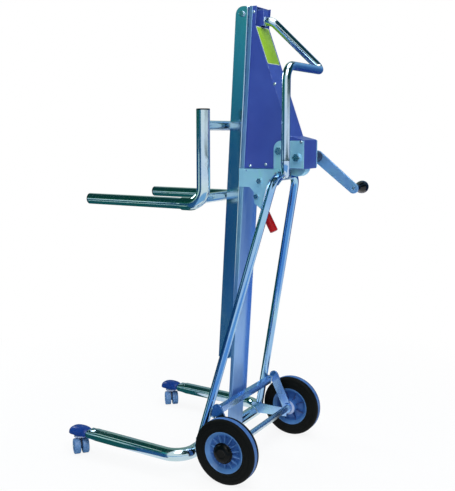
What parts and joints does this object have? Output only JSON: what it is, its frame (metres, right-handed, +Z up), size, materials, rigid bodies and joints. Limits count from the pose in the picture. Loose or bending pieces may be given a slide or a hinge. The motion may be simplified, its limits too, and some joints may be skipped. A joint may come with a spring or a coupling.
{
  "type": "manual winch stacker",
  "caption": "Hand-pushed lift with tubular forks on a leaning mast, raised by a cranked cable winch, on rear wheels and front castors.",
  "frame": {"origin": "on the floor, at the middle of the stacker's footprint", "axes": "+Z up, -Y towards the fork tips, +Y towards the operator, +X to the operator's left as seen facing forward"},
  "size_m": [0.5915, 0.8336, 1.3958],
  "materials": {
    "zinc_tube": "bright zinc plate",
    "zinc_sheet": "bright zinc plate",
    "bolt_steel": "zinc plated",
    "blue_paint": "semi-gloss paint",
    "blue_plastic": "glossy",
    "wire_rope": "stranded",
    "black_plastic": "semi-gloss",
    "tyre_rubber": "matt",
    "rim_plastic": "satin",
    "castor_grey": "satin",
    "castor_steel": "zinc plated",
    "roller_nylon": "satin",
    "red_plastic": "semi-gloss"
  },
  "bodies": {
    "frame": {"base_cross_tube": "zinc_tube", "base_leg_left": "zinc_tube", "base_leg_right": "zinc_tube", "castor_cap_left": "blue_plastic", "castor_cap_right": "blue_plastic", "frame_tube_left": "zinc_tube", "frame_tube_right": "zinc_tube", "tie_bar": "zinc_sheet", "wheel_straps": "zinc_sheet", "axle_plates": "zinc_sheet", "rear_axle": "bolt_steel", "axle_clips": "bolt_steel", "mast_column": "zinc_sheet", "mast_rail": "zinc_sheet", "column_saddle": "zinc_sheet", "frame_bolts": "bolt_steel", "pulley_head": "blue_paint", "winch_cover": "blue_paint", "bracket_plate_left": "zinc_sheet", "bracket_plate_right": "zinc_sheet", "winch_plate_left": "zinc_sheet", "winch_plate_right": "zinc_sheet", "winch_pan": "zinc_sheet", "drum_shaft": "bolt_steel", "handle_tube": "zinc_tube", "cable_rear": "wire_rope", "cable_front": "wire_rope"},
    "carriage": {"carriage_plates": "zinc_sheet", "cross_tube_upper": "zinc_tube", "cross_tube_lower": "zinc_tube", "fork_upright_left": "zinc_tube", "fork_upright_right": "zinc_tube", "fork_tine_left": "zinc_tube", "fork_tine_right": "zinc_tube", "fork_plugs": "black_plastic", "roller_pins": "bolt_steel", "cable_anchor": "bolt_steel"},
    "upper_rollers": {"rollers_upper": "roller_nylon"},
    "lower_rollers": {"rollers_lower": "roller_nylon"},
    "drum": {"drum": "bolt_steel", "drum_gear": "bolt_steel"},
    "crank": {"crank_shaft": "bolt_steel", "crank_hub": "black_plastic", "crank_arm": "zinc_sheet", "knob_pin": "bolt_steel"},
    "knob": {"knob": "black_plastic"},
    "pulley": {"top_pulley": "roller_nylon"},
    "wheel_left": {"tyre_left": "tyre_rubber", "rim_left": "rim_plastic", "hub_cap_left": "black_plastic"},
    "wheel_right": {"tyre_right": "tyre_rubber", "rim_right": "rim_plastic", "hub_cap_right": "black_plastic"},
    "castor_left": {"castor_fork_left": "castor_steel"},
    "castor_right": {"castor_fork_right": "castor_steel"},
    "castor_roll_left": {"castor_wheels_left": "castor_grey"},
    "castor_roll_right": {"castor_wheels_right": "castor_grey"},
    "lever": {"release_lever": "zinc_sheet", "lever_grip": "red_plastic"}
  },
  "joints": [
    {"name": "carriage_lift", "type": "slide", "parent": "frame", "child": "carriage", "axis": [0, 0.0572, 0.9984], "range_m": [-0.46, 0.25], "deforming": ["cable_front"]},
    {"name": "upper_roller_spin", "type": "hinge", "parent": "carriage", "child": "upper_rollers", "pos_m": [0, 0.07907, 1.05026], "axis": [1, 0, 0], "continuous": true},
    {"name": "lower_roller_spin", "type": "hinge", "parent": "carriage", "child": "lower_rollers", "pos_m": [0, 0.06681, 0.83626], "axis": [1, 0, 0], "continuous": true},
    {"name": "drum_spin", "type": "hinge", "parent": "frame", "child": "drum", "pos_m": [0, 0.22192, 0.9746], "axis": [1, 0, 0], "continuous": true},
    {"name": "crank_spin", "type": "hinge", "parent": "frame", "child": "crank", "pos_m": [0, 0.27912, 0.956], "axis": [1, 0, 0], "continuous": true},
    {"name": "knob_spin", "type": "hinge", "parent": "crank", "child": "knob", "pos_m": [0, 0.39729, 0.862], "axis": [1, 0, 0], "continuous": true},
    {"name": "pulley_spin", "type": "hinge", "parent": "frame", "child": "pulley", "pos_m": [0, 0.09757, 1.37301], "axis": [1, 0, 0], "continuous": true},
    {"name": "wheel_left_spin", "type": "hinge", "parent": "frame", "child": "wheel_left", "pos_m": [0.225, 0.14612, 0.1], "axis": [1, 0, 0], "continuous": true},
    {"name": "wheel_right_spin", "type": "hinge", "parent": "frame", "child": "wheel_right", "pos_m": [-0.225, 0.14612, 0.1], "axis": [1, 0, 0], "continuous": true},
    {"name": "castor_left_swivel", "type": "hinge", "parent": "frame", "child": "castor_left", "pos_m": [0.263, -0.38129, 0], "axis": [0, 0, 1], "continuous": true},
    {"name": "castor_right_swivel", "type": "hinge", "parent": "frame", "child": "castor_right", "pos_m": [-0.263, -0.38129, 0], "axis": [0, 0, 1], "continuous": true},
    {"name": "castor_left_roll", "type": "hinge", "parent": "castor_left", "child": "castor_roll_left", "pos_m": [0.27071, -0.3721, 0.025], "axis": [-0.766, 0.6428, 0], "continuous": true},
    {"name": "castor_right_roll", "type": "hinge", "parent": "castor_right", "child": "castor_roll_right", "pos_m": [-0.25381, -0.37358, 0.025], "axis": [-0.6428, 0.766, 0], "continuous": true},
    {"name": "lever_pull", "type": "hinge", "parent": "frame", "child": "lever", "pos_m": [0.048, 0.15012, 0.838], "axis": [1, 0, 0], "range_deg": [0, 30], "stiffness_Nm_per_rad": 0.6, "springref_deg": -28.65}
  ],
  "couplings": [
    {"joint": "upper_roller_spin", "follows": "carriage_lift", "rad_per_m": 53.763},
    {"joint": "lower_roller_spin", "follows": "carriage_lift", "rad_per_m": -53.763},
    {"joint": "drum_spin", "follows": "carriage_lift", "rad_per_m": 40.323},
    {"joint": "crank_spin", "follows": "carriage_lift", "rad_per_m": -127.69},
    {"joint": "pulley_spin", "follows": "carriage_lift", "rad_per_m": -49.261}
  ]
}
